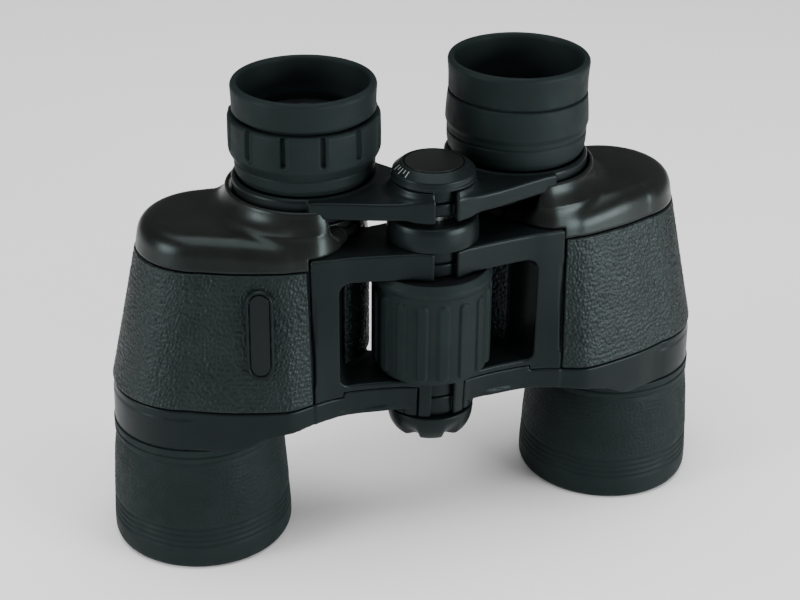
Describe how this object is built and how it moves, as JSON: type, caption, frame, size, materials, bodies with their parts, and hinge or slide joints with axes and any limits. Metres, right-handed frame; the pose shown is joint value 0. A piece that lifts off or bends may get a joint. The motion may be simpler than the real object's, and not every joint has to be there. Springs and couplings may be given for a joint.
{
  "type": "porro prism binoculars",
  "caption": "Centre-focus Porro prism binoculars with offset barrels, folding hinge, ribbed focus wheel, dioptre ring and rubber eyecups, standing on the objectives.",
  "frame": {"origin": "on the standing plane under the objectives, at the centre of the bounding box", "axes": "+Z from the objectives to the eyecups, +X to the user's left half, -Y to the side with the badge and focus wheel front"},
  "size_m": [0.1796, 0.0624, 0.1362],
  "materials": {
    "painted_alloy": "semi-gloss black paint on die-cast alloy",
    "satin_cover": "satin black",
    "leatherette": "fine pebble grain, near black",
    "armour_rubber": "matte black",
    "blackened_alloy": "black anodised",
    "spring_steel": "fine turned steel",
    "coated_glass": "anti-reflection coated",
    "prism_glass": "polished",
    "badge_gloss": "gloss black, blank"
  },
  "bodies": {
    "left_barrel": {"left_housing": "painted_alloy", "left_front_cover": "satin_cover", "left_rear_cover": "satin_cover", "left_leather_grip": "leatherette", "left_prism_shelf": "blackened_alloy", "left_upper_prism": "prism_glass", "left_lower_prism": "prism_glass", "left_upper_prism_clip": "spring_steel", "left_lower_prism_clip": "spring_steel", "left_objective_tube": "blackened_alloy", "left_objective_sleeve": "armour_rubber", "left_objective_retaining_ring": "blackened_alloy", "left_objective_lens": "coated_glass", "left_eyepiece_guide": "blackened_alloy", "left_strap_lug": "spring_steel", "hinge_tube": "spring_steel", "hinge_collar": "painted_alloy"},
    "right_barrel": {"right_housing": "painted_alloy", "right_front_cover": "satin_cover", "right_rear_cover": "satin_cover", "right_leather_grip": "leatherette", "right_prism_shelf": "blackened_alloy", "right_upper_prism": "prism_glass", "right_lower_prism": "prism_glass", "right_upper_prism_clip": "spring_steel", "right_lower_prism_clip": "spring_steel", "right_objective_tube": "blackened_alloy", "right_objective_sleeve": "armour_rubber", "right_objective_retaining_ring": "blackened_alloy", "right_objective_lens": "coated_glass", "right_eyepiece_guide": "blackened_alloy", "right_strap_lug": "spring_steel", "name_badge": "badge_gloss", "badge_bezel": "badge_gloss"},
    "focus_wheel": {"focus_wheel": "blackened_alloy", "focus_wheel_grip": "armour_rubber"},
    "bridge": {"left_bridge_arm": "painted_alloy", "left_ocular_barrel": "blackened_alloy", "left_eye_lens": "coated_glass", "left_field_lens": "coated_glass", "left_eyecup": "armour_rubber", "focus_shaft": "spring_steel", "focus_follower_key": "spring_steel", "ipd_scale_cap": "painted_alloy", "cap_disc": "satin_cover"},
    "right_bridge": {"right_bridge_arm": "painted_alloy"},
    "right_ocular": {"right_ocular_barrel": "blackened_alloy", "right_eye_lens": "coated_glass", "right_field_lens": "coated_glass", "right_eyecup": "armour_rubber"},
    "dioptre_ring": {"dioptre_ring": "armour_rubber"},
    "tripod_cap": {"tripod_socket_cap": "satin_cover"}
  },
  "joints": [
    {"name": "ipd_hinge", "type": "hinge", "parent": "left_barrel", "child": "right_barrel", "pos_m": [0, -0.0143, 0], "axis": [0, 0, 1], "range_deg": [-14, 24]},
    {"name": "focus_wheel_turn", "type": "hinge", "parent": "left_barrel", "child": "focus_wheel", "pos_m": [0, -0.0143, 0], "axis": [0, 0, 1], "range_deg": [-46, 271]},
    {"name": "focus_slide", "type": "slide", "parent": "left_barrel", "child": "bridge", "axis": [0, 0, 1], "range_m": [-0.001, 0.006]},
    {"name": "bridge_fold", "type": "hinge", "parent": "bridge", "child": "right_bridge", "pos_m": [0, -0.0143, 0], "axis": [0, 0, 1], "range_deg": [-14.5, 24.5]},
    {"name": "dioptre_turn", "type": "hinge", "parent": "right_bridge", "child": "dioptre_ring", "pos_m": [-0.0307, 0.00545, 0], "axis": [0, 0, 1], "range_deg": [-61, 61]},
    {"name": "dioptre_slide", "type": "slide", "parent": "right_bridge", "child": "right_ocular", "axis": [0, 0, 1], "range_m": [-0.0008, 0.0008]},
    {"name": "tripod_cap_off", "type": "slide", "parent": "left_barrel", "child": "tripod_cap", "axis": [0, 0, -1], "range_m": [0, 0.012]}
  ],
  "couplings": [
    {"joint": "focus_wheel_turn", "follows": "focus_slide", "rad_per_m": 785.4},
    {"joint": "bridge_fold", "follows": "ipd_hinge", "ratio": 1},
    {"joint": "dioptre_turn", "follows": "dioptre_slide", "rad_per_m": 1309}
  ]
}
